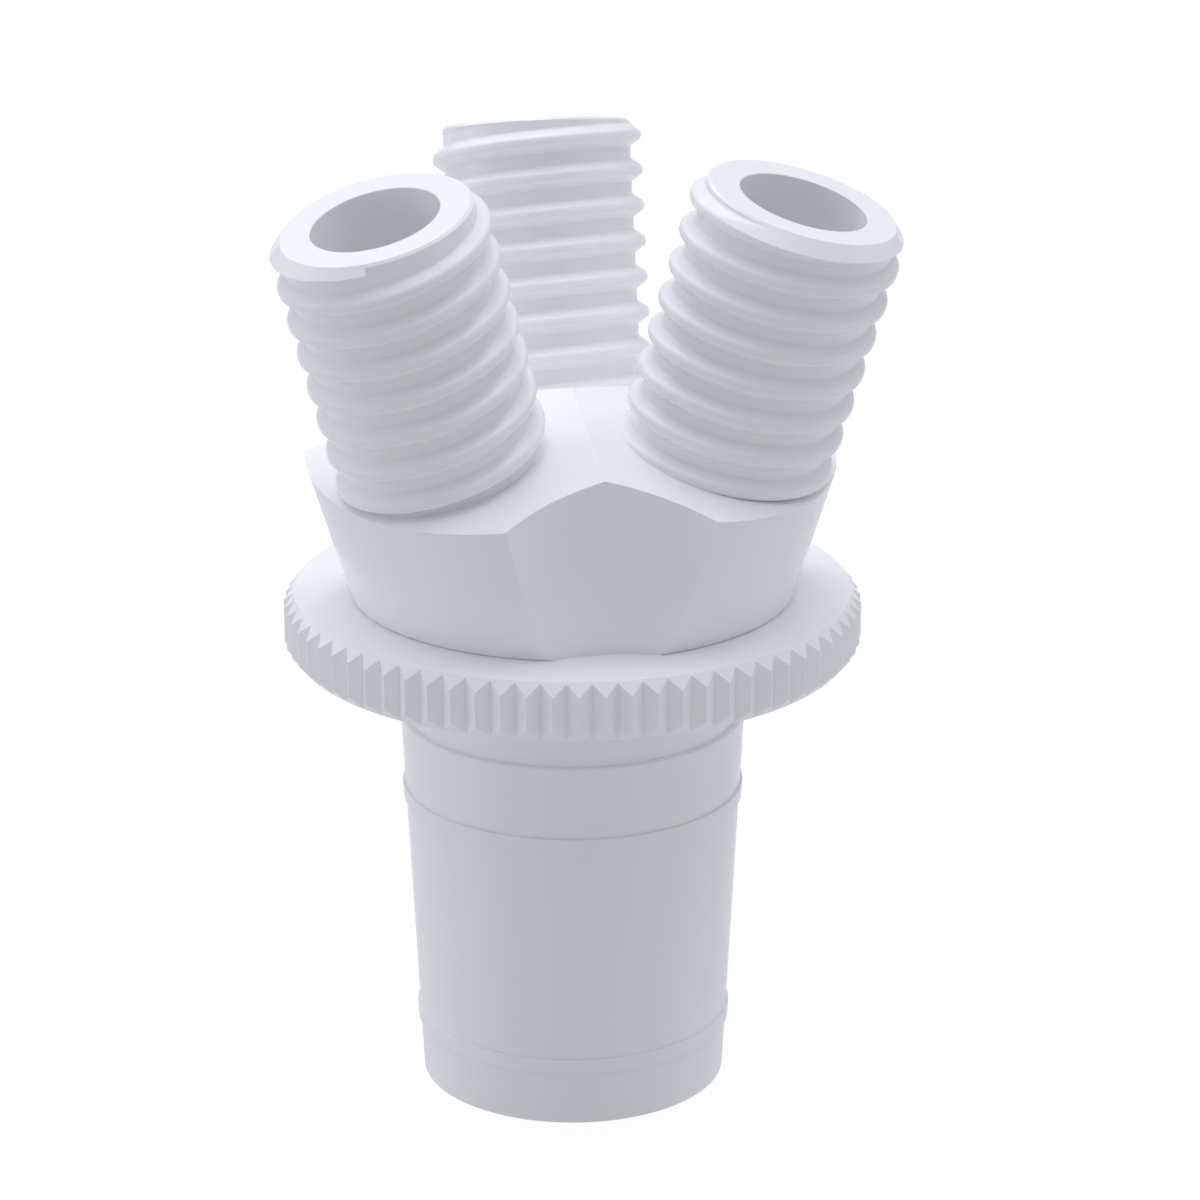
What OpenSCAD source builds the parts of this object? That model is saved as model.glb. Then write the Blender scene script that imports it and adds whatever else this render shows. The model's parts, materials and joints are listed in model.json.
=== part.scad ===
// Three-way distributor adapter, one moulded piece.
// It stands on the end of its tapered spigot. The spigot's axis is Z, and its end is at Z = 0.

/* [Spigot] */
// Large diameter of the 1:10 ground-joint cone that the bands seal in
joint_d = 29.2; // [28:0.1:34]
// Diameter lost for each millimetre towards the end
joint_taper = 0.1; // [0.08:0.01:0.12]
// Height of the shoulder, where the cone is at its large diameter
shoulder_z = 32.3; // [31:0.1:35]
// How far the plain wall stands back from the cone
wall_relief = 0.25; // [0.15:0.05:0.5]
// Height of the lower band's top edge
lower_band_z = 5.9; // [3:0.1:12]
// Height of the upper band's top edge
upper_band_z = 26.1; // [20:0.1:30]
// Width of each sealing band
band_w = 1.2; // [0.8:0.1:2]
// How far the neck steps in at the shoulder
neck_step = 0.5; // [0.3:0.1:1.5]
// Bore up through the spigot
spigot_bore_d = 20; // [14:0.5:21]
// How far below the flange the spigot's bore ends
roof_drop = 1.2; // [0.6:0.1:3]

/* [Flange] */
// Height of the flange's underside
flange_z = 38.2; // [36.5:0.1:40]
// Thickness of the flange
flange_t = 4.9; // [4:0.1:7]
// Diameter over the teeth
flange_d = 48; // [46:0.5:54]
// Teeth round the grip
teeth = 72; // [36:12:96]
// Depth of the grooves between the teeth
tooth_depth = 0.8; // [0.4:0.1:1.2]
// Height of the bevel on both edges of the teeth
bevel_h = 1.05; // [0.6:0.05:1.8]

/* [Body] */
// Diameter of the body's foot on the flange
body_d = 36.8; // [35:0.1:40]
// Height above the flange where the sloping faces meet
body_h = 17.1; // [14:0.1:20]
// Slope of the body's side, and lean of the nipples, in degrees
lean = 17; // [15:0.5:19]
// Radius of the scallops
scallop_r = 12.3; // [10:0.1:14]
// Depth of a scallop at the foot of the body
scallop_depth = 1.4; // [0.6:0.1:2.5]

/* [Nipples] */
// Number of nipples
nipples = 3; // [2:1:4]
// Length of a nipple above its sloping face
nipple_len = 22.5; // [15:0.5:30]
// Diameter over the thread
thread_d = 17.7; // [17:0.1:18.2]
// Diameter between the turns
root_d = 15.8; // [15.4:0.1:16.4]
// Pitch of the round thread
pitch = 3; // [2.5:0.25:4]
// Rounding of the thread's crest
crest_r = 0.55; // [0.3:0.05:0.7]
// Slope of the thread's flanks, in degrees
flank = 33; // [25:1:38]
// Diameter of the flat end, inside the 45 degree chamfer
rim_d = 15.4; // [13:0.1:15.6]
// Angle at which the thread starts on the end, from the outer side
start_angle = 46; // [0:1:90]
// Bore of a nipple
bore_d = 10.5; // [8.5:0.5:12]
// How far above its sloping face a nipple's bore ends
bore_floor = 0.5; // [0.3:0.1:3]
// Passage from a nipple's bore down to the spigot's bore
passage_d = 8; // [5:0.5:8.5]
// How far a passage reaches below the roof of the spigot's bore, on its axis
passage_overlap = 1.5; // [1.2:0.1:2.5]

/* [Hidden] */

// Fineness of round surfaces and of the thread
round_fn = 180;
turn_steps = 24;
crest_steps = 4;
step_angle = 360 / turn_steps;
// Overlap that joins one sub-part to the next
seat = 0.2;
// Length by which a cutter passes the surface that it opens
past = 1;

joint_end_d = joint_d - joint_taper * shoulder_z;
roof_z = flange_z - roof_drop;

flange_top = flange_z + flange_t;
groove_d = flange_d - 2 * tooth_depth;
// Step from the groove's foot to the flat face of the flange
face_step = 0.1;
// The bevel's cone runs on past the teeth by this share of its length
bevel_reach = 1.3;
tooth_angle = 360 / teeth;

// The nipples' axes lie where the thread's crest continues the side of the body
first_nipple = 90;
nipple_turn = 360 / nipples;
meet_z = flange_top - (body_d - thread_d / cos(lean)) / 2 / tan(lean);
face_reach = (flange_top + body_h - meet_z) * cos(lean);
tip_reach = face_reach + nipple_len;
bore_reach = face_reach + bore_floor;
passage_reach = (roof_z - passage_overlap - meet_z) / cos(lean);

body_z = flange_z + flange_t / 2;
body_top = flange_top + body_h + body_d * tan(lean);
scallop_x = body_d / 2 - scallop_depth + scallop_r;

// What is left of the ridge where it is cleared at the thread's start
runout_foot = 0.03;
// Half the width of the thread's ridge on the root cylinder
crest_drop = crest_r * (1 - sin(flank));
ridge_half = crest_r * cos(flank) + ((thread_d - root_d) / 2 - crest_drop) * tan(flank);

// Radius of the 1:10 cone at a height
function joint_radius(z) = (joint_end_d + joint_taper * z) / 2;

// Radius of the spigot's plain wall at a height
function wall_radius(z) = joint_radius(z) - wall_relief;

// Outline of a sealing band, from its lower bevel to its square top edge
function band_outline(top) = [
    [wall_radius(top - band_w), top - band_w],
    [joint_radius(top - band_w + wall_relief), top - band_w + wall_relief],
    [joint_radius(top), top],
    [wall_radius(top), top]
];

// Points of the toothed outline, with a groove at angle 0
function toothed_outline() = [
    for (i = [0 : 2 * teeth - 1])
        let (r = i % 2 == 0 ? groove_d / 2 : flange_d / 2, a = i * tooth_angle / 2)
            [r * cos(a), r * sin(a)]
];

// Section of the thread's ridge: distance from the crest's middle, and radius
function ridge_section() = concat(
    [[-ridge_half, root_d / 2]],
    [
        for (k = [0 : crest_steps])
            let (a = 180 - flank - k * (180 - 2 * flank) / crest_steps)
                [crest_r * cos(a), thread_d / 2 - crest_r + crest_r * sin(a)]
    ],
    [[ridge_half, root_d / 2]]
);

// Spigot with its taper, shoulder and two sealing bands
module spigot() {
    shoulder_r = wall_radius(shoulder_z);
    neck_r = shoulder_r - neck_step;
    color("whitesmoke")
        rotate_extrude($fn = round_fn)
            polygon(concat(
                [[0, 0], [wall_radius(0), 0]],
                band_outline(lower_band_z),
                band_outline(upper_band_z),
                [
                    [shoulder_r, shoulder_z],
                    [neck_r, shoulder_z],
                    [neck_r, flange_z + seat],
                    [0, flange_z + seat]
                ]
            ));
}

// Grip flange with vertical V grooves and a bevel on both edges of the teeth
module flange() {
    face_r = groove_d / 2 - face_step;
    cone_r = face_r + bevel_reach * (flange_d / 2 - face_r);
    cone_h = bevel_reach * bevel_h;
    color("whitesmoke")
        intersection() {
            translate([0, 0, flange_z])
                linear_extrude(flange_t)
                    polygon(toothed_outline());
            rotate_extrude($fn = round_fn)
                polygon([
                    [0, flange_z],
                    [face_r, flange_z],
                    [cone_r, flange_z + cone_h],
                    [cone_r, flange_top - cone_h],
                    [face_r, flange_top],
                    [0, flange_top]
                ]);
        }
}

// Puts its children at the axis of each nipple, with Z along the axis and X on the outer side
module on_nipple_axes() {
    for (i = [0 : nipples - 1])
        translate([0, 0, meet_z])
            rotate([0, lean, first_nipple + i * nipple_turn])
                children();
}

// Flared body, with a sloping face square to each nipple and a scallop between each two
module body() {
    side = tan(lean);
    color("whitesmoke")
        difference() {
            translate([0, 0, body_z])
                cylinder(
                    h = body_top - body_z,
                    r1 = body_d / 2 + (body_z - flange_top) * side,
                    r2 = body_d / 2 + (body_top - flange_top) * side,
                    $fn = round_fn
                );
            on_nipple_axes()
                translate([0, 0, face_reach])
                    cylinder(h = body_top, r = body_top, $fn = round_fn);
            for (i = [0 : nipples - 1])
                rotate([0, 0, first_nipple + (i + 0.5) * nipple_turn])
                    translate([scallop_x, 0, body_z - past])
                        cylinder(h = body_top - body_z + 2 * past, r = scallop_r, $fn = round_fn);
        }
}

// Right-hand round thread as one closed skin. Its crest ends at Z = 0 at angle 0, with turns below it.
module thread_skin(turns) {
    section = ridge_section();
    m = len(section);
    n = turn_steps;
    last = turns * n;
    points = [
        for (i = [0 : last], p = section)
            let (a = 360 * i / n)
                [p[1] * cos(a), p[1] * sin(a), pitch * (i / n - turns) + p[0]]
    ];
    low = len(points);
    high = low + 1;
    middles = [
        [0, 0, pitch * (0.5 - turns) - ridge_half],
        [0, 0, ridge_half - pitch / 2]
    ];
    ridge_faces = [
        for (i = [0 : last - 1], j = [0 : m - 2])
            let (p = i * m + j, q = p + m)
                [p, p + 1, q + 1, q]
    ];
    root_faces = [
        for (i = [0 : last - n - 1])
            let (p = i * m + m - 1, q = (i + n) * m)
                [p, q, q + m, p + m]
    ];
    low_loop = concat([for (i = [0 : n]) i * m], [for (j = [m - 1 : -1 : 1]) j]);
    high_loop = concat(
        [for (i = [last - n : last]) i * m + m - 1],
        [for (j = [m - 2 : -1 : 0]) last * m + j]
    );
    low_faces = [
        for (k = [0 : len(low_loop) - 1])
            [low, low_loop[k], low_loop[(k + 1) % len(low_loop)]]
    ];
    high_faces = [
        for (k = [0 : len(high_loop) - 1])
            [high, high_loop[(k + 1) % len(high_loop)], high_loop[k]]
    ];
    polyhedron(concat(points, middles), concat(ridge_faces, root_faces, low_faces, high_faces));
}

// Nipple with its end at Z = 0 and the outer side of its lean at X. It runs down into the body.
module nipple() {
    rim_r = rim_d / 2;
    wide_r = thread_d / 2 + past;
    foot_z = -nipple_len - seat;
    turns = ceil(nipple_len / pitch) + 2;
    color("whitesmoke")
        difference() {
            intersection() {
                rotate([0, 0, start_angle - step_angle / 2])
                    translate([0, 0, pitch - pitch / turn_steps / 2])
                        thread_skin(turns);
                rotate_extrude($fn = round_fn)
                    polygon([
                        [0, foot_z],
                        [wide_r, foot_z],
                        [wide_r, rim_r - wide_r],
                        [rim_r, 0],
                        [0, 0]
                    ]);
            }
            thread_start_cut();
        }
}

// Clears the ridge where it would run out over the end, which leaves a square face to start the thread
module thread_start_cut() {
    runout_angle = 360 * ridge_half / pitch;
    foot_r = root_d / 2 + runout_foot;
    rotate([0, 0, start_angle])
        rotate_extrude(angle = runout_angle + step_angle / 4, $fn = round_fn)
            polygon([
                [foot_r, -ridge_half - runout_foot],
                [thread_d / 2 + past, -ridge_half - runout_foot],
                [thread_d / 2 + past, past],
                [foot_r, past]
            ]);
}

// Bore up the spigot, and a stepped bore down each nipple into it
module flow_path() {
    translate([0, 0, -past])
        cylinder(h = roof_z + past, d = spigot_bore_d, $fn = round_fn);
    on_nipple_axes() {
        translate([0, 0, bore_reach])
            cylinder(h = tip_reach - bore_reach + past, d = bore_d, $fn = round_fn);
        translate([0, 0, passage_reach])
            cylinder(h = bore_reach - passage_reach + past, d = passage_d, $fn = round_fn);
    }
}

// The whole adapter
module distributor_adapter() {
    color("whitesmoke")
        difference() {
            union() {
                spigot();
                flange();
                body();
                on_nipple_axes()
                    translate([0, 0, tip_reach])
                        nipple();
            }
            flow_path();
        }
}

distributor_adapter();
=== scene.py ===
"""Looks of the three-way distributor adapter: one white moulding on a white studio floor.

The moulding is built in millimetres, sub-assembly by sub-assembly, joined into one closed skin
and then scaled to metres. Its Z axis is the spigot's, and Z = 0 is the spigot's end.
"""

import json
import logging
import math
from collections.abc import Sequence
from dataclasses import dataclass, field
from enum import Enum

import bmesh
import bpy
from mathutils import Matrix, Vector

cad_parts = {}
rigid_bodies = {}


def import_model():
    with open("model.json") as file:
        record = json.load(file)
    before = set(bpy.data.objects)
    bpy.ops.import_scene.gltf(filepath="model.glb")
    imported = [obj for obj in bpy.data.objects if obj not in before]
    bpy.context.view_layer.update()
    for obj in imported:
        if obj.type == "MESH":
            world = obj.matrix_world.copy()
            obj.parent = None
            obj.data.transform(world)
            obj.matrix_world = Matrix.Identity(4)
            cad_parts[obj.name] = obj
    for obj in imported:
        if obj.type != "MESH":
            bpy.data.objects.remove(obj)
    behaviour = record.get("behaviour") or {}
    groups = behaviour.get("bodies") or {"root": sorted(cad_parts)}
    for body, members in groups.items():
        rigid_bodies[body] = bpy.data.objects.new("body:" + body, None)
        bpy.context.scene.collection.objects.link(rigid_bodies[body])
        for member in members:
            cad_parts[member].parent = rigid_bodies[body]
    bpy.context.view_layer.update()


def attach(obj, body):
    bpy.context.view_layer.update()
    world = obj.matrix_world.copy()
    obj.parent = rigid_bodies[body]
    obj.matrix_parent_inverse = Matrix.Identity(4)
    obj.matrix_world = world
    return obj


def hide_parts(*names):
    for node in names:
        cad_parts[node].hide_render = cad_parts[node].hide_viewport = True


MILLIMETRE = 0.001
ROUND_STEPS = 288
# How far a cutter or a seated end passes the surface that it crosses, in millimetres
PAST = 1.0
# Size of a cutter that clears all beyond a surface, in millimetres
FAR = 60.0
# Vertices nearer to each other than this, in millimetres, become one
WELD = 0.001

log = logging.getLogger("adapter")


class Join(Enum):
    """How one closed mesh is combined with another."""

    UNION = "UNION"
    CUT = "DIFFERENCE"
    COMMON = "INTERSECT"


@dataclass(frozen=True)
class Corner:
    """A corner of a section: its radius from the axis, its height, and its rounding, in millimetres."""

    radius: float
    height: float
    rounding: float = 0.0


class Term:
    """A socket of a node tree that takes part in Python arithmetic. Each operation adds a Math node."""

    def __init__(self, graph: "Graph", socket: bpy.types.NodeSocket) -> None:
        """Wraps a socket.

        Args:
            graph: the graph that the socket belongs to.
            socket: the output socket.
        """
        self.graph = graph
        self.socket = socket

    def math(self, operation: str, *others: "Term | float", swap: bool = False) -> "Term":
        """Adds a Math node.

        Args:
            operation: the node's operation.
            others: the operands that follow this one.
            swap: whether this term comes second.

        Returns:
            The node's result.
        """
        operands = [self, *others]
        if swap:
            operands.reverse()
        node = self.graph.add("ShaderNodeMath", {"operation": operation}, dict(enumerate(operands)))
        return Term(self.graph, node.outputs[0])

    def __add__(self, other: "Term | float") -> "Term":
        """Adds."""
        return self.math("ADD", other)

    __radd__ = __add__

    def __sub__(self, other: "Term | float") -> "Term":
        """Subtracts."""
        return self.math("SUBTRACT", other)

    def __rsub__(self, other: float) -> "Term":
        """Subtracts from a number."""
        return self.math("SUBTRACT", other, swap=True)

    def __mul__(self, other: "Term | float") -> "Term":
        """Multiplies."""
        return self.math("MULTIPLY", other)

    __rmul__ = __mul__

    def __truediv__(self, other: "Term | float") -> "Term":
        """Divides."""
        return self.math("DIVIDE", other)

    def __abs__(self) -> "Term":
        """Takes the absolute value."""
        return self.math("ABSOLUTE")

    def __lt__(self, other: "Term | float") -> "Term":
        """Gives 1 where this is the smaller, and 0 elsewhere."""
        return self.math("LESS_THAN", other)


class Graph:
    """Adds nodes to a shader tree or a geometry tree."""

    def __init__(self, tree: bpy.types.NodeTree) -> None:
        """Takes over a node tree.

        Args:
            tree: the tree that the nodes go into.
        """
        self.tree = tree

    def add(
        self,
        kind: str,
        settings: dict[str, object] | None = None,
        inputs: dict[str | int, object] | None = None,
    ) -> bpy.types.Node:
        """Adds a node.

        Args:
            kind: the node's type.
            settings: its attributes, which are set before its sockets.
            inputs: values, sockets or terms, by the sockets' names or places.

        Returns:
            The new node.
        """
        node = self.tree.nodes.new(kind)
        for name, setting in (settings or {}).items():
            setattr(node, name, setting)
        for key, given in (inputs or {}).items():
            socket = node.inputs[key]
            if isinstance(given, Term):
                given = given.socket
            if isinstance(given, bpy.types.NodeSocket):
                self.tree.links.new(given, socket)
            else:
                socket.default_value = given
        return node

    def term(self, node: bpy.types.Node, output: str | int = 0) -> Term:
        """Wraps an output of a node, named or counted."""
        return Term(self, node.outputs[output])


class GeometryGraph(Graph):
    """A geometry tree with named inputs, put on an object as a modifier."""

    def __init__(self, name: str) -> None:
        """Makes an empty tree with a geometry input and output.

        Args:
            name: the tree's name.
        """
        super().__init__(bpy.data.node_groups.new(name, "GeometryNodeTree"))
        self.ids: dict[str, str] = {}
        self.given: dict[str, object] = {}
        face = self.tree.interface
        face.new_socket("Geometry", in_out="INPUT", socket_type="NodeSocketGeometry")
        face.new_socket("Geometry", in_out="OUTPUT", socket_type="NodeSocketGeometry")
        self.entry = self.add("NodeGroupInput")
        self.exit = self.add("NodeGroupOutput")

    def size(self, name: str, given: float) -> Term:
        """Adds a named input.

        Args:
            name: the input's name.
            given: its value. A whole number makes a count.

        Returns:
            The input, for arithmetic.
        """
        kind = "NodeSocketInt" if isinstance(given, int) else "NodeSocketFloat"
        socket = self.tree.interface.new_socket(name, in_out="INPUT", socket_type=kind)
        self.ids[name] = socket.identifier
        self.given[name] = given
        return Term(self, self.entry.outputs[name])

    def bake(self, base: bpy.types.Object, geometry: bpy.types.NodeSocket) -> bpy.types.Object:
        """Ends the tree, runs it on an object and keeps the result as a plain mesh.

        Args:
            base: the object that carries the modifier. It is used up.
            geometry: the socket that holds the finished geometry.

        Returns:
            The object, with the baked mesh and no modifier.
        """
        real = self.add("GeometryNodeRealizeInstances", inputs={"Geometry": geometry})
        dressed = self.add("GeometryNodeSetMaterial", inputs={"Geometry": real.outputs[0]})
        self.tree.links.new(dressed.outputs[0], self.exit.inputs[0])
        modifier = base.modifiers.new(self.tree.name, "NODES")
        modifier.node_group = self.tree
        for name, identifier in self.ids.items():
            modifier[identifier] = self.given[name]
        settle(base)
        bpy.data.node_groups.remove(self.tree)
        return base


def settle(thing: bpy.types.Object) -> None:
    """Turns an object's modifiers into plain mesh and removes them."""
    bpy.context.view_layer.update()
    seen = thing.evaluated_get(bpy.context.evaluated_depsgraph_get())
    old, thing.data = thing.data, bpy.data.meshes.new_from_object(seen)
    thing.modifiers.clear()
    bpy.data.meshes.remove(old)


def place_mesh(name: str, shape: bmesh.types.BMesh) -> bpy.types.Object:
    """Puts a mesh in the scene with its faces pointing outwards, and frees the source.

    Args:
        name: the object's name.
        shape: the mesh, closed.

    Returns:
        The new object.
    """
    bmesh.ops.recalc_face_normals(shape, faces=shape.faces)
    mesh = bpy.data.meshes.new(name)
    shape.to_mesh(mesh)
    shape.free()
    thing = bpy.data.objects.new(name, mesh)
    bpy.context.scene.collection.objects.link(thing)
    return thing


def combine(base: bpy.types.Object, other: bpy.types.Object, how: Join) -> bpy.types.Object:
    """Combines two closed meshes.

    Args:
        base: the object that is kept and changed.
        other: the object that is used up.
        how: union, cut or common part.

    Returns:
        The changed base.
    """
    modifier = base.modifiers.new(how.name, "BOOLEAN")
    modifier.operation = how.value
    modifier.solver = "MANIFOLD"
    modifier.object = other
    settle(base)
    bpy.data.meshes.remove(other.data)
    return base


def rounded_section(corners: Sequence[Corner], steps: int = 4) -> list[tuple[float, float]]:
    """Replaces the corners of a section with arcs.

    Args:
        corners: the section's corners, in order.
        steps: the number of chords in an arc.

    Returns:
        Radius and height of each point of the rounded section.
    """
    points: list[tuple[float, float]] = []
    for before, corner, after in zip((corners[-1], *corners[:-1]), corners, (*corners[1:], corners[0])):
        middle = Vector((corner.radius, corner.height))
        back = Vector((before.radius, before.height)) - middle
        ahead = Vector((after.radius, after.height)) - middle
        if not corner.rounding:
            points.append(tuple(middle))
            continue
        half = back.angle(ahead) / 2
        reach = corner.rounding / math.tan(half)
        inwards = (back.normalized() + ahead.normalized()).normalized()
        centre = middle + inwards * corner.rounding / math.sin(half)
        first = middle + back.normalized() * reach - centre
        turn = first.angle_signed(middle + ahead.normalized() * reach - centre)
        for step in range(steps + 1):
            spun = first.copy()
            spun.rotate(Matrix.Rotation(-turn * step / steps, 2))
            points.append(tuple(centre + spun))
    return points


def turned(name: str, section: Sequence[tuple[float, float]], sweep: float = 360.0) -> bpy.types.Object:
    """Turns a closed section about the Z axis.

    Args:
        name: the object's name.
        section: radius and height of each point. Points on the axis become poles.
        sweep: the angle that it turns through, from X towards Y, in degrees.

    Returns:
        The closed solid.
    """
    shape = bmesh.new()
    whole = sweep == 360.0
    steps = max(1, round(ROUND_STEPS * sweep / 360))
    rings = []
    for radius, height in section:
        if radius < WELD:
            rings.append([shape.verts.new((0, 0, height))] * (steps + 1))
            continue
        angles = [math.radians(sweep * i / steps) for i in range(steps + (not whole))]
        ring = [shape.verts.new((radius * math.cos(a), radius * math.sin(a), height)) for a in angles]
        rings.append([*ring, ring[0]] if whole else ring)
    for lower, upper in zip(rings, [*rings[1:], rings[0]]):
        for i in range(steps):
            corners = list(dict.fromkeys((lower[i], lower[i + 1], upper[i + 1], upper[i])))
            if len(corners) > 2:
                shape.faces.new(corners)
    if not whole:
        shape.faces.new([ring[0] for ring in rings])
        shape.faces.new([ring[-1] for ring in rings])
    return place_mesh(name, shape)


@dataclass(frozen=True)
class SatinPlastic:
    """A white moulded plastic with a satin sheen and a very fine grain."""

    name: str = "white_plastic"
    shade: tuple[float, float, float] = (0.955, 0.96, 0.965)
    deep_shade: tuple[float, float, float] = (0.94, 0.945, 0.95)
    roughness: float = 0.13
    roughness_spread: float = 0.04
    cloud: float = 0.022
    grain: float = 0.00035
    grain_depth: float = 0.000003
    grain_strength: float = 0.25
    ior: float = 1.45

    def material(self) -> bpy.types.Material:
        """Builds the node tree.

        Returns:
            The material.
        """
        made = bpy.data.materials.new(self.name)
        made.use_nodes = True
        made.node_tree.nodes.clear()
        graph = Graph(made.node_tree)
        place = graph.add("ShaderNodeTexCoord").outputs["Object"]
        clouds = graph.add(
            "ShaderNodeTexNoise",
            inputs={"Vector": place, "Scale": 1 / self.cloud, "Detail": 3.0},
        )
        grain = graph.add(
            "ShaderNodeTexNoise",
            inputs={"Vector": place, "Scale": 1 / self.grain, "Detail": 2.0},
        )
        colour = graph.add(
            "ShaderNodeMix",
            {"data_type": "RGBA"},
            {0: graph.term(clouds), 6: (*self.deep_shade, 1), 7: (*self.shade, 1)},
        )
        roughness = self.roughness + (graph.term(clouds) - 0.5) * self.roughness_spread
        bump = graph.add(
            "ShaderNodeBump",
            inputs={
                "Strength": self.grain_strength,
                "Distance": self.grain_depth,
                "Height": graph.term(grain),
            },
        )
        plastic = graph.add(
            "ShaderNodeBsdfPrincipled",
            inputs={
                "Base Color": colour.outputs[2],
                "Roughness": roughness,
                "Normal": bump.outputs[0],
                "IOR": self.ior,
            },
        )
        graph.add("ShaderNodeOutputMaterial", inputs={"Surface": plastic.outputs[0]})
        return made


@dataclass(frozen=True)
class Spigot:
    """The tapered spigot with two sealing bands, a shoulder and a neck, and the bore up it."""

    joint_d: float = 29.2
    taper: float = 0.1
    shoulder_z: float = 32.3
    relief: float = 0.21
    band_tops: tuple[float, ...] = (5.9, 26.1)
    band_w: float = 1.2
    neck_step: float = 0.5
    bore_d: float = 20.0
    edge: float = 0.1
    band_edge: float = 0.03

    def joint_radius(self, height: float) -> float:
        """Gives the radius of the joint's cone at a height."""
        return (self.joint_d - self.taper * (self.shoulder_z - height)) / 2

    def wall_radius(self, height: float) -> float:
        """Gives the radius of the plain wall at a height."""
        return self.joint_radius(height) - self.relief

    def build(self, top: float) -> bpy.types.Object:
        """Turns the outside.

        Args:
            top: the height that the neck runs up to.

        Returns:
            The solid spigot.
        """
        corners = [Corner(0, 0), Corner(self.wall_radius(0), 0, self.edge)]
        for band in self.band_tops:
            low = band - self.band_w
            corners += [
                Corner(self.wall_radius(low), low),
                Corner(self.joint_radius(low), low, self.band_edge),
                Corner(self.joint_radius(band), band, self.band_edge),
                Corner(self.wall_radius(band), band),
            ]
        shoulder_r = self.wall_radius(self.shoulder_z)
        neck_r = shoulder_r - self.neck_step
        corners += [
            Corner(shoulder_r, self.shoulder_z, self.edge),
            Corner(neck_r, self.shoulder_z),
            Corner(neck_r, top),
            Corner(0, top),
        ]
        return turned("spigot", rounded_section(corners))

    def bore(self, roof: float) -> bpy.types.Object:
        """Turns what is bored out.

        Args:
            roof: the height of the bore's end.

        Returns:
            The cutter, flared at the mouth to round the edge there.
        """
        radius = self.bore_d / 2
        section = mouth_flare(radius, self.edge)
        return turned("spigot_bore", [(0, -PAST), *section, (radius, roof), (0, roof)])


def mouth_flare(radius: float, edge: float, steps: int = 4) -> list[tuple[float, float]]:
    """Gives the section of a bore's rounded mouth at height 0, from outside inwards.

    Args:
        radius: the bore's radius.
        edge: the rounding's radius.
        steps: the number of chords.

    Returns:
        Radius and height of each point, with heights growing into the bore.
    """
    arc = [math.radians(90 * i / steps) for i in range(steps + 1)]
    flare = [(radius + edge - edge * math.sin(a), edge - edge * math.cos(a)) for a in arc]
    return [(radius + edge, -PAST), *flare]


@dataclass(frozen=True)
class GripFlange:
    """The flange with a knurled grip of vertical grooves and bevelled rims."""

    bottom: float = 38.2
    thick: float = 4.9
    diameter: float = 48.0
    teeth: int = 72
    groove: float = 0.8
    bevel_h: float = 1.05
    face_step: float = 0.1
    inner_r: float = 12.0
    tip_rounding: float = 0.12
    tip_chords: int = 4

    @property
    def top(self) -> float:
        """Gives the height of the upper face."""
        return self.bottom + self.thick

    def tooth_outline(self) -> list[Vector]:
        """Works out the outline of one tooth, seen from above.

        Returns:
            The points from one groove's floor over the rounded tip to the next, with the tip on X.
        """
        half = math.radians(180 / self.teeth)
        floor = Vector((math.cos(half), math.sin(half))) * (self.diameter / 2 - self.groove)
        tip = Vector((self.diameter / 2, 0))
        slope = math.atan2(floor.y, tip.x - floor.x)
        centre = tip.x - self.tip_rounding / math.sin(slope)
        spread = math.pi / 2 - slope
        turns = [spread * (2 * i / self.tip_chords - 1) for i in range(self.tip_chords + 1)]
        rounded = [
            Vector((centre + self.tip_rounding * math.cos(t), self.tip_rounding * math.sin(t)))
            for t in turns
        ]
        return [Vector((floor.x, -floor.y)), *rounded, floor]

    def tooth(self) -> bpy.types.Object:
        """Builds one tooth with its share of the ring, open at its two sides.

        Returns:
            The wedge.
        """
        face_r = self.diameter / 2 - self.groove - self.face_step
        slope = self.bevel_h / (self.diameter / 2 - face_r)
        shape = bmesh.new()
        columns = []
        for spot in self.tooth_outline():
            out = spot.normalized()
            drop = (spot.length - face_r) * slope
            posts = [(out * self.inner_r, 0.0), (out * face_r, 0.0), (spot, drop)]
            column = [shape.verts.new((*flat, self.top - inset)) for flat, inset in posts]
            column += [shape.verts.new((*flat, self.bottom + inset)) for flat, inset in reversed(posts)]
            columns.append(column)
        for column, after in zip(columns, columns[1:]):
            for i in range(len(column)):
                shape.faces.new((column[i - 1], column[i], after[i], after[i - 1]))
        return place_mesh("flange", shape)

    def build(self) -> bpy.types.Object:
        """Repeats the tooth round the axis and joins the copies into one ring.

        Returns:
            The closed ring.
        """
        graph = GeometryGraph("knurl")
        teeth = graph.size("Teeth", self.teeth)
        weld = graph.size("Weld distance", WELD)
        points = graph.add("GeometryNodePoints", inputs={"Count": teeth})
        index = graph.term(graph.add("GeometryNodeInputIndex"))
        turn = graph.add("ShaderNodeCombineXYZ", inputs={"Z": index * math.tau / teeth})
        copies = graph.add(
            "GeometryNodeInstanceOnPoints",
            inputs={
                "Points": points.outputs[0],
                "Instance": graph.entry.outputs["Geometry"],
                "Rotation": turn.outputs[0],
            },
        )
        real = graph.add("GeometryNodeRealizeInstances", inputs={"Geometry": copies.outputs[0]})
        ring = graph.add(
            "GeometryNodeMergeByDistance",
            inputs={"Geometry": real.outputs[0], "Distance": weld},
        )
        flange = graph.bake(self.tooth(), ring.outputs[0])
        flange.data.transform(Matrix.Rotation(math.pi / self.teeth, 4, "Z"))
        return flange


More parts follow.
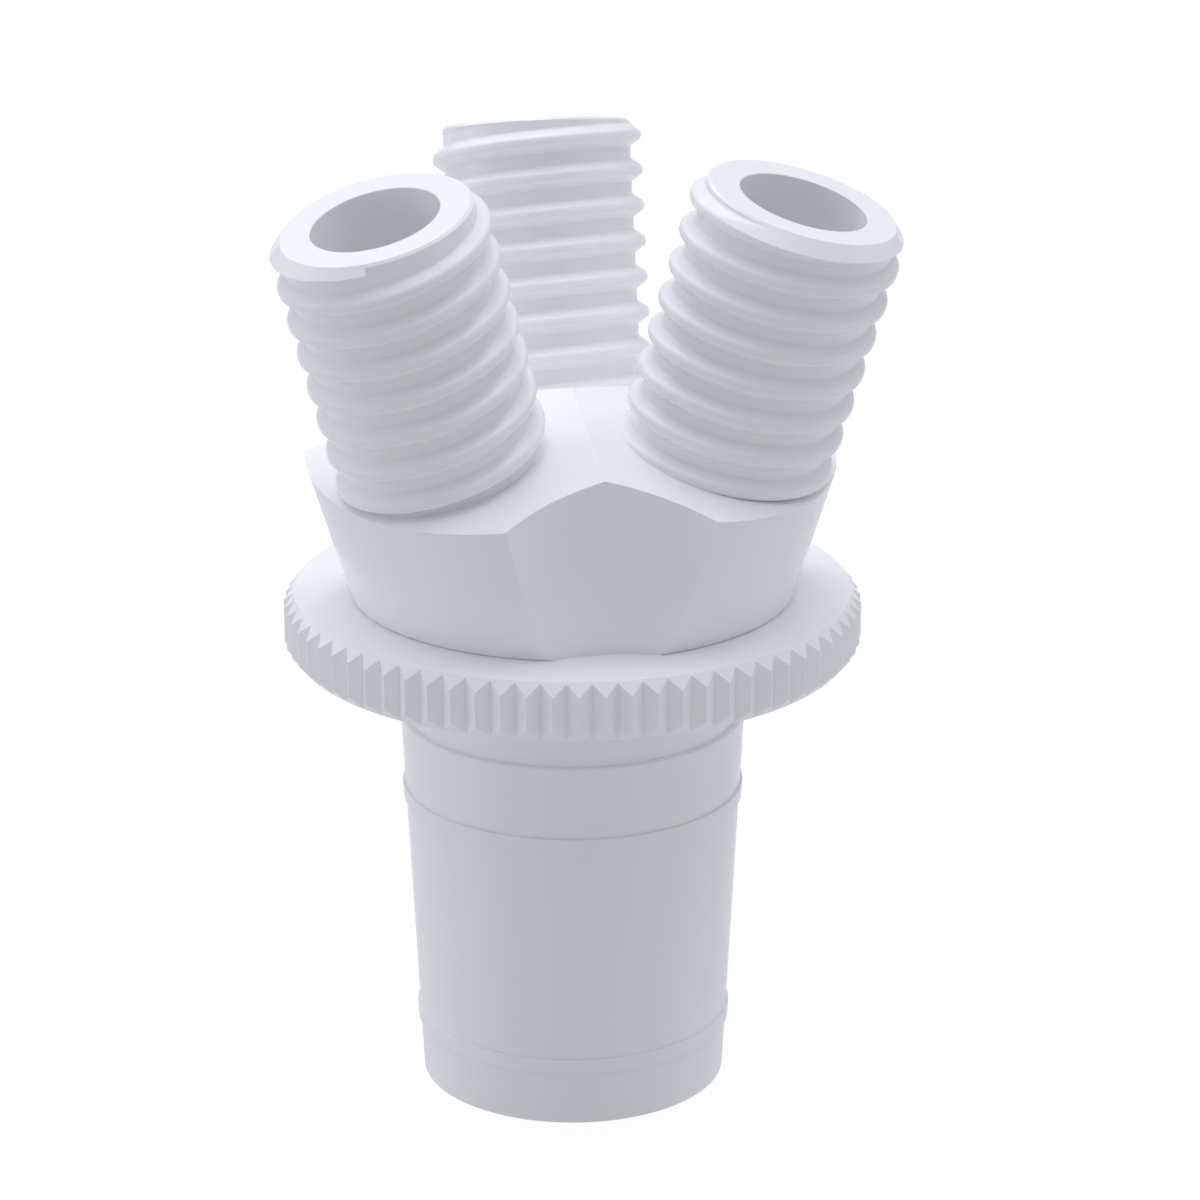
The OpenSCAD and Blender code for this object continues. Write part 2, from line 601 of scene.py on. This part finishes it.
@dataclass(frozen=True)
class Body:
    """The flared body with a sloping face square to each nipple and a scallop between each two."""

    foot_d: float = 36.8
    height: float = 17.1
    lean: float = 17.0
    scallop_r: float = 12.3
    scallop_depth: float = 1.4
    scallop_below: float = 5.0
    seam: float = 0.12

    def build(self, base: float, places: Sequence[Matrix], face_reach: float) -> bpy.types.Object:
        """Cuts the sloping faces and the scallops into a cone.

        Args:
            base: the height of the body's foot.
            places: the frame of each nipple, with Z along its axis.
            face_reach: the distance of the sloping faces along those axes.

        Returns:
            The solid body.
        """
        side = math.tan(math.radians(self.lean))
        foot_r, high = self.foot_d / 2, self.height + self.foot_d * side
        sunk = foot_r - self.seam
        section = [
            (0, -PAST),
            (sunk, -PAST),
            (sunk, 0),
            (foot_r + side * self.seam, self.seam),
            (foot_r + side * high, high),
            (0, high),
        ]
        body = turned("body", [(radius, base + z) for radius, z in section])
        for place in places:
            slab = turned("above", [(0, 0), (FAR, 0), (FAR, FAR), (0, FAR)])
            slab.data.transform(place @ Matrix.Translation((0, 0, face_reach)))
            combine(body, slab, Join.CUT)
        centre = self.foot_d / 2 - self.scallop_depth + self.scallop_r
        half_turn = math.pi / len(places)
        for i in range(len(places)):
            tool = turned("scallop", [(0, 0), (self.scallop_r, 0), (self.scallop_r, FAR), (0, FAR)])
            angle = math.pi / 2 + (2 * i + 1) * half_turn
            spot = (centre * math.cos(angle), centre * math.sin(angle), base - self.scallop_below)
            tool.data.transform(Matrix.Translation(spot))
            combine(body, tool, Join.CUT)
        return body


@dataclass(frozen=True)
class Nipple:
    """A nipple with a right-hand round thread, a chamfered end and a bore down it.

    It is built with its end at Z = 0, pointing up, and with the outer side of its lean at X.
    """

    length: float = 22.5
    thread_d: float = 17.7
    root_d: float = 15.8
    pitch: float = 3.0
    crest_flat: float = 0.2
    crest_r: float = 0.45
    flank: float = 33.0
    ridge_shift: float = -0.05
    rim_d: float = 15.4
    start_angle: float = 46.0
    bore_d: float = 10.5
    edge: float = 0.1
    foot: float = 0.2
    runout_foot: float = 0.02
    runout_gap: float = 0.05
    steps_per_turn: int = 68
    rows_per_turn: int = 40
    root_blend: float = 0.25

    @property
    def crest_half(self) -> float:
        """Gives half the width of the crest, with its flat and its two rounded shoulders."""
        return self.crest_flat / 2 + self.crest_r * math.cos(math.radians(self.flank))

    @property
    def crest_drop(self) -> float:
        """Gives how far the rounded shoulders drop before the flanks begin."""
        return self.crest_r * (1 - math.sin(math.radians(self.flank)))

    @property
    def ridge_half(self) -> float:
        """Gives half the width of the ridge at the root."""
        rise = (self.thread_d - self.root_d) / 2 - self.crest_drop
        return self.crest_half + rise * math.tan(math.radians(self.flank))

    def thread(self) -> bpy.types.Object:
        """Sweeps the thread's section along its helix, over the whole length and one turn past each end.

        Returns:
            The closed threaded rod, with a crest near height 0 on the start angle.
        """
        turns = math.ceil(self.length / self.pitch) + 2
        graph = GeometryGraph("round thread")
        turn_count = graph.size("Turns", turns)
        pitch = graph.size("Pitch", self.pitch)
        root = graph.size("Root radius", self.root_d / 2)
        crest = graph.size("Crest radius", self.thread_d / 2)
        flat = graph.size("Half crest flat", self.crest_flat / 2)
        rounding = graph.size("Crest rounding", self.crest_r)
        crest_half = graph.size("Crest half width", self.crest_half)
        crest_drop = graph.size("Crest drop", self.crest_drop)
        slope = graph.size("Flank slope", 1 / math.tan(math.radians(self.flank)))
        blend = graph.size("Root blend", self.root_blend)
        steps = graph.size("Steps in a turn", self.steps_per_turn)
        rows = graph.size("Rows in a turn", self.rows_per_turn)
        grid = graph.add(
            "GeometryNodeMeshGrid",
            inputs={
                "Size X": 1.0,
                "Size Y": 1.0,
                "Vertices X": turn_count * steps + 1,
                "Vertices Y": rows + 1,
            },
        )
        position = graph.add("GeometryNodeInputPosition")
        spot = graph.add("ShaderNodeSeparateXYZ", inputs={0: position.outputs[0]})
        turned_by = (graph.term(spot, "X") + 0.5) * turn_count
        across = graph.term(spot, "Y") * pitch
        off = abs(across)
        past_flat = (off - flat).math("MAXIMUM", 0.0)
        rise = (rounding * rounding - past_flat * past_flat).math("MAXIMUM", 0.0).math("SQRT")
        arc = crest - rounding + rise
        flank = crest - crest_drop - (off - crest_half) * slope
        on_arc = off < crest_half
        radius = (on_arc * arc + (1.0 - on_arc) * flank).math("SMOOTH_MAX", root, blend)
        angle = turned_by * math.tau
        point = graph.add(
            "ShaderNodeCombineXYZ",
            inputs={
                "X": radius * angle.math("COSINE"),
                "Y": radius * angle.math("SINE"),
                "Z": turned_by * pitch + across,
            },
        )
        moved = graph.add(
            "GeometryNodeSetPosition",
            inputs={"Geometry": grid.outputs[0], "Position": point.outputs[0]},
        )
        skin = graph.add(
            "GeometryNodeMergeByDistance",
            inputs={"Geometry": moved.outputs[0], "Distance": graph.size("Weld distance", WELD)},
        )
        rod = graph.bake(place_mesh("thread", bmesh.new()), skin.outputs[0])
        self.close_ends(rod, turns)
        start = Matrix.Rotation(math.radians(self.start_angle), 4, "Z")
        drop = self.pitch * (1 - turns) + self.ridge_shift
        rod.data.transform(start @ Matrix.Translation((0, 0, drop)))
        return rod

    def close_ends(self, rod: bpy.types.Object, turns: int) -> None:
        """Closes the two open ends of the swept skin, each with a fan about a point on the axis.

        Args:
            rod: the swept skin.
            turns: the number of turns in it.
        """
        shape = bmesh.new()
        shape.from_mesh(rod.data)
        middle = turns * self.pitch / 2
        open_edges = [e for e in shape.edges if e.is_boundary]
        for end in (0, turns * self.pitch):
            edges = [e for e in open_edges if (e.verts[0].co.z < middle) == (end < middle)]
            hub = shape.verts.new((0, 0, end + math.copysign(self.pitch / 2, middle - end)))
            for edge in edges:
                shape.faces.new((*edge.verts, hub))
        bmesh.ops.recalc_face_normals(shape, faces=shape.faces)
        shape.to_mesh(rod.data)
        shape.free()

    def blank(self) -> bpy.types.Object:
        """Turns the space that the nipple fills, with a 45 degree chamfer at its end."""
        rim = self.rim_d / 2
        wide = self.thread_d / 2 + PAST
        low = -self.length - self.foot
        corners = [
            Corner(0, low),
            Corner(wide, low),
            Corner(wide, rim - wide),
            Corner(rim, 0, self.edge),
            Corner(0, 0),
        ]
        return turned("blank", rounded_section(corners))

    def start_cutter(self) -> bpy.types.Object:
        """Turns what is cleared where the ridge would run out over the end."""
        runout = 360 * self.ridge_half / self.pitch
        inner, outer = self.root_d / 2 + self.runout_foot, self.thread_d / 2 + PAST
        low, high = self.ridge_shift - self.ridge_half - self.runout_gap, PAST
        section = [(inner, low), (outer, low), (outer, high), (inner, high)]
        cutter = turned("start", section, runout + 2)
        cutter.data.transform(Matrix.Rotation(math.radians(self.start_angle), 4, "Z"))
        return cutter

    def build(self, place: Matrix) -> bpy.types.Object:
        """Builds the solid nipple.

        Args:
            place: the frame of the nipple's end.

        Returns:
            The nipple in its place.
        """
        nipple = self.thread()
        combine(nipple, self.blank(), Join.COMMON)
        combine(nipple, self.start_cutter(), Join.CUT)
        nipple.data.transform(place)
        return nipple

    def bore(self, place: Matrix, depth: float, passage_r: float, reach: float) -> bpy.types.Object:
        """Turns what is bored out of a nipple.

        Args:
            place: the frame of the nipple's end.
            depth: how deep the wide bore goes.
            passage_r: the radius of the passage below it.
            reach: how deep the passage goes.

        Returns:
            The cutter in its place.
        """
        radius = self.bore_d / 2
        step = [(radius, depth), (passage_r, depth), (passage_r, reach), (0, reach)]
        cutter = turned("nipple_bore", [(0, -PAST), *mouth_flare(radius, self.edge), *step])
        cutter.data.transform(place @ Matrix.Rotation(math.pi, 4, "X"))
        return cutter


@dataclass
class Adapter:
    """The whole adapter, as one closed moulding."""

    spigot: Spigot = field(default_factory=Spigot)
    flange: GripFlange = field(default_factory=GripFlange)
    body: Body = field(default_factory=Body)
    nipple: Nipple = field(default_factory=Nipple)
    finish: SatinPlastic = field(default_factory=SatinPlastic)
    nipples: int = 3
    roof_drop: float = 1.2
    bore_floor: float = 0.5
    passage_d: float = 8.0
    passage_overlap: float = 1.5
    crease: float = 27.0
    broad_crease: float = 3.0
    broad_area: float = 5.0
    flat_match: float = 0.999

    @property
    def meet_z(self) -> float:
        """Gives the height where the nipples' axes meet."""
        lean = math.radians(self.body.lean)
        crest_reach = self.nipple.thread_d / math.cos(lean)
        return self.flange.top - (self.body.foot_d - crest_reach) / 2 / math.tan(lean)

    def nipple_places(self) -> list[Matrix]:
        """Gives a frame at the meeting point for each nipple, with Z along its axis."""
        lift = Matrix.Translation((0, 0, self.meet_z))
        lean = Matrix.Rotation(math.radians(self.body.lean), 4, "Y")
        angles = [math.pi / 2 + i * math.tau / self.nipples for i in range(self.nipples)]
        return [lift @ Matrix.Rotation(angle, 4, "Z") @ lean for angle in angles]

    def build(self) -> bpy.types.Object:
        """Joins the sub-assemblies, bores them and smooths the skin.

        Returns:
            The finished piece, in metres.
        """
        lean = math.radians(self.body.lean)
        roof = self.flange.bottom - self.roof_drop
        face_reach = (self.flange.top + self.body.height - self.meet_z) * math.cos(lean)
        tip_reach = face_reach + self.nipple.length
        bore_depth = self.nipple.length - self.bore_floor
        passage_depth = tip_reach - (roof - self.passage_overlap - self.meet_z) / math.cos(lean)
        places = self.nipple_places()
        ends = [place @ Matrix.Translation((0, 0, tip_reach)) for place in places]
        moulding = self.spigot.build(self.flange.bottom + PAST)
        combine(moulding, self.flange.build(), Join.UNION)
        combine(moulding, self.body.build(self.flange.top, places, face_reach), Join.UNION)
        for end in ends:
            combine(moulding, self.nipple.build(end), Join.UNION)
        combine(moulding, self.spigot.bore(roof), Join.CUT)
        for end in ends:
            bore = self.nipple.bore(end, bore_depth, self.passage_d / 2, passage_depth)
            combine(moulding, bore, Join.CUT)
        moulding.name = moulding.data.name = "adapter_moulding"
        axes = [place.to_3x3().col[2].copy() for place in places]
        self.smooth(moulding, [*axes, Vector((0, 0, 1)), Vector((0, 0, -1))])
        moulding.data.transform(Matrix.Scale(MILLIMETRE, 4))
        moulding.data.materials.clear()
        moulding.data.materials.append(self.finish.material())
        return moulding

    def smooth(self, thing: bpy.types.Object, flats: Sequence[Vector]) -> None:
        """Shades the round surfaces smooth, and keeps the creases and the rims of flat and broad faces.

        Args:
            thing: the object, in millimetres.
            flats: the directions that the flat faces look in.
        """
        shape = bmesh.new()
        shape.from_mesh(thing.data)
        flat, broad = set(), set()
        for face in shape.faces:
            face.smooth = True
            if max(face.normal.dot(way) for way in flats) > self.flat_match:
                flat.add(face)
                face.smooth = False
            elif face.calc_area() > self.broad_area:
                broad.add(face)
        for edge in shape.edges:
            even = len(flat.intersection(edge.link_faces)) != 1
            plain = flat.isdisjoint(edge.link_faces) and broad.isdisjoint(edge.link_faces)
            limit = self.crease if plain else self.broad_crease
            edge.smooth = even and edge.calc_face_angle(0.0) < math.radians(limit)
        shape.to_mesh(thing.data)
        shape.free()
        weights = thing.modifiers.new("even shading", "WEIGHTED_NORMAL")
        weights.keep_sharp = True
        settle(thing)


@dataclass(frozen=True)
class Glow:
    """A soft patch of light. Its azimuth is in degrees about the Z axis, from X towards Y."""

    azimuth: float
    elevation: float
    tightness: float
    strength: float

    def toward(self, graph: Graph, way: bpy.types.NodeSocket) -> Term:
        """Works out how bright the patch is in a direction.

        Args:
            graph: the graph that the nodes go into.
            way: the direction, of length 1.

        Returns:
            The brightness there.
        """
        around, up = math.radians(self.azimuth), math.radians(self.elevation)
        middle = (math.cos(up) * math.cos(around), math.cos(up) * math.sin(around), math.sin(up))
        closeness = graph.add("ShaderNodeVectorMath", {"operation": "DOT_PRODUCT"}, {0: way, 1: middle})
        ahead = graph.term(closeness, "Value").math("MAXIMUM", 0.0)
        return ahead.math("POWER", self.tightness) * self.strength


@dataclass(frozen=True)
class Studio:
    """A white floor under a white dome, with soft patches of light that the camera does not see."""

    tint: tuple[float, float, float] = (0.965, 0.99, 1.045)
    floor_half: float = 4.0
    floor_shade: float = 0.05
    floor_roughness: float = 0.9
    floor_white: float = 0.95
    floor_light: float = 0.485
    floor_glows: tuple[Glow, ...] = (
        Glow(80, 0, 2, 0.25),
        Glow(170, 0, 2, 0.12),
        Glow(350, 0, 2, 0.13),
    )
    dome_white: float = 1.0
    dome_light: float = 0.32
    dome_glows: tuple[Glow, ...] = (
        Glow(0, 90, 14, 2.05),
        Glow(6, 65, 40, 1.8),
        Glow(86, 64, 160, 7.0),
        Glow(126, 60, 40, 1.3),
        Glow(125, 40, 14, 1.25),
        Glow(35, 40, 14, 0.55),
        Glow(170, 8, 14, 1.45),
        Glow(350, 8, 14, 0.55),
        Glow(260, 55, 14, 0.42),
        Glow(80, 8, 14, 0.4),
    )

    def light(
        self,
        graph: Graph,
        way: bpy.types.NodeSocket,
        even: float,
        glows: Sequence[Glow],
        white: float,
    ) -> bpy.types.NodeSocket:
        """Adds up the light of a surface, and keeps the surface plain white to the camera.

        Args:
            graph: the graph that the nodes go into.
            way: the direction of each point, of length 1.
            even: the light that is the same everywhere.
            glows: the patches.
            white: what the camera sees in its place.

        Returns:
            The colour of each point.
        """
        strength = sum((glow.toward(graph, way) for glow in glows), even)
        given = graph.add(
            "ShaderNodeVectorMath",
            {"operation": "SCALE"},
            {0: self.tint, "Scale": strength},
        )
        seen = graph.add("ShaderNodeLightPath").outputs["Is Camera Ray"]
        shown = graph.add(
            "ShaderNodeMix",
            {"data_type": "RGBA"},
            {0: seen, 6: given.outputs[0], 7: (*(white,) * 3, 1)},
        )
        return shown.outputs[2]

    def floor(self) -> bpy.types.Object:
        """Lays the floor that the adapter stands on."""
        shape = bmesh.new()
        bmesh.ops.create_grid(shape, x_segments=1, y_segments=1, size=self.floor_half)
        floor = place_mesh("floor", shape)
        made = bpy.data.materials.new("floor_white")
        made.use_nodes = True
        made.node_tree.nodes.clear()
        graph = Graph(made.node_tree)
        place = graph.add("ShaderNodeTexCoord").outputs["Object"]
        way = graph.add("ShaderNodeVectorMath", {"operation": "NORMALIZE"}, {0: place}).outputs[0]
        light = self.light(graph, way, self.floor_light, self.floor_glows, self.floor_white)
        surface = graph.add(
            "ShaderNodeBsdfPrincipled",
            inputs={
                "Base Color": (*(self.floor_shade,) * 3, 1),
                "Roughness": self.floor_roughness,
                "Specular IOR Level": 0.0,
                "Emission Color": light,
                "Emission Strength": 1.0,
            },
        )
        graph.add("ShaderNodeOutputMaterial", inputs={"Surface": surface.outputs[0]})
        floor.data.materials.append(made)
        return floor

    def dome(self) -> None:
        """Lights the scene from all round."""
        world = bpy.data.worlds.new("dome")
        world.use_nodes = True
        world.node_tree.nodes.clear()
        graph = Graph(world.node_tree)
        way = graph.add("ShaderNodeTexCoord").outputs["Generated"]
        light = self.light(graph, way, self.dome_light, self.dome_glows, self.dome_white)
        sky = graph.add("ShaderNodeBackground", inputs={"Color": light, "Strength": 1.0})
        graph.add("ShaderNodeOutputWorld", inputs={"Surface": sky.outputs[0]})
        bpy.context.scene.world = world

    def build(self) -> None:
        """Sets up the floor and the dome, and shows whites as they are."""
        self.floor()
        self.dome()
        bpy.context.scene.view_settings.view_transform = "Standard"


@dataclass(frozen=True)
class Viewpoint:
    """The camera, in millimetres and degrees about the spigot's axis."""

    distance: float = 362.69
    height: float = 169.39
    azimuth: float = 261.212
    heading: float = 80.850
    pitch: float = 19.378
    lens: float = 138.70

    def build(self) -> None:
        """Makes the camera and gives it to the scene."""
        around, heading, pitch = (math.radians(a) for a in (self.azimuth, self.heading, self.pitch))
        data = bpy.data.cameras.new("camera")
        data.sensor_width = 36.0
        data.lens = self.lens
        data.clip_start = 0.01
        camera = bpy.data.objects.new("camera", data)
        spot = Vector((self.distance * math.cos(around), self.distance * math.sin(around), self.height))
        camera.location = spot * MILLIMETRE
        flat = math.cos(pitch)
        ahead = Vector((flat * math.cos(heading), flat * math.sin(heading), -math.sin(pitch)))
        camera.rotation_euler = ahead.to_track_quat("-Z", "Y").to_euler()
        bpy.context.scene.collection.objects.link(camera)
        bpy.context.scene.camera = camera


def main() -> None:
    """Builds the camera, the studio and the adapter."""
    logging.basicConfig(level=logging.INFO, format="%(name)s: %(message)s")
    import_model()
    Viewpoint().build()
    Studio().build()
    moulding = Adapter().build()
    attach(moulding, "root")
    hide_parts("distributor_adapter")
    log.info("%s: %d faces", moulding.name, len(moulding.data.polygons))


if __name__ == "__main__":
    main()
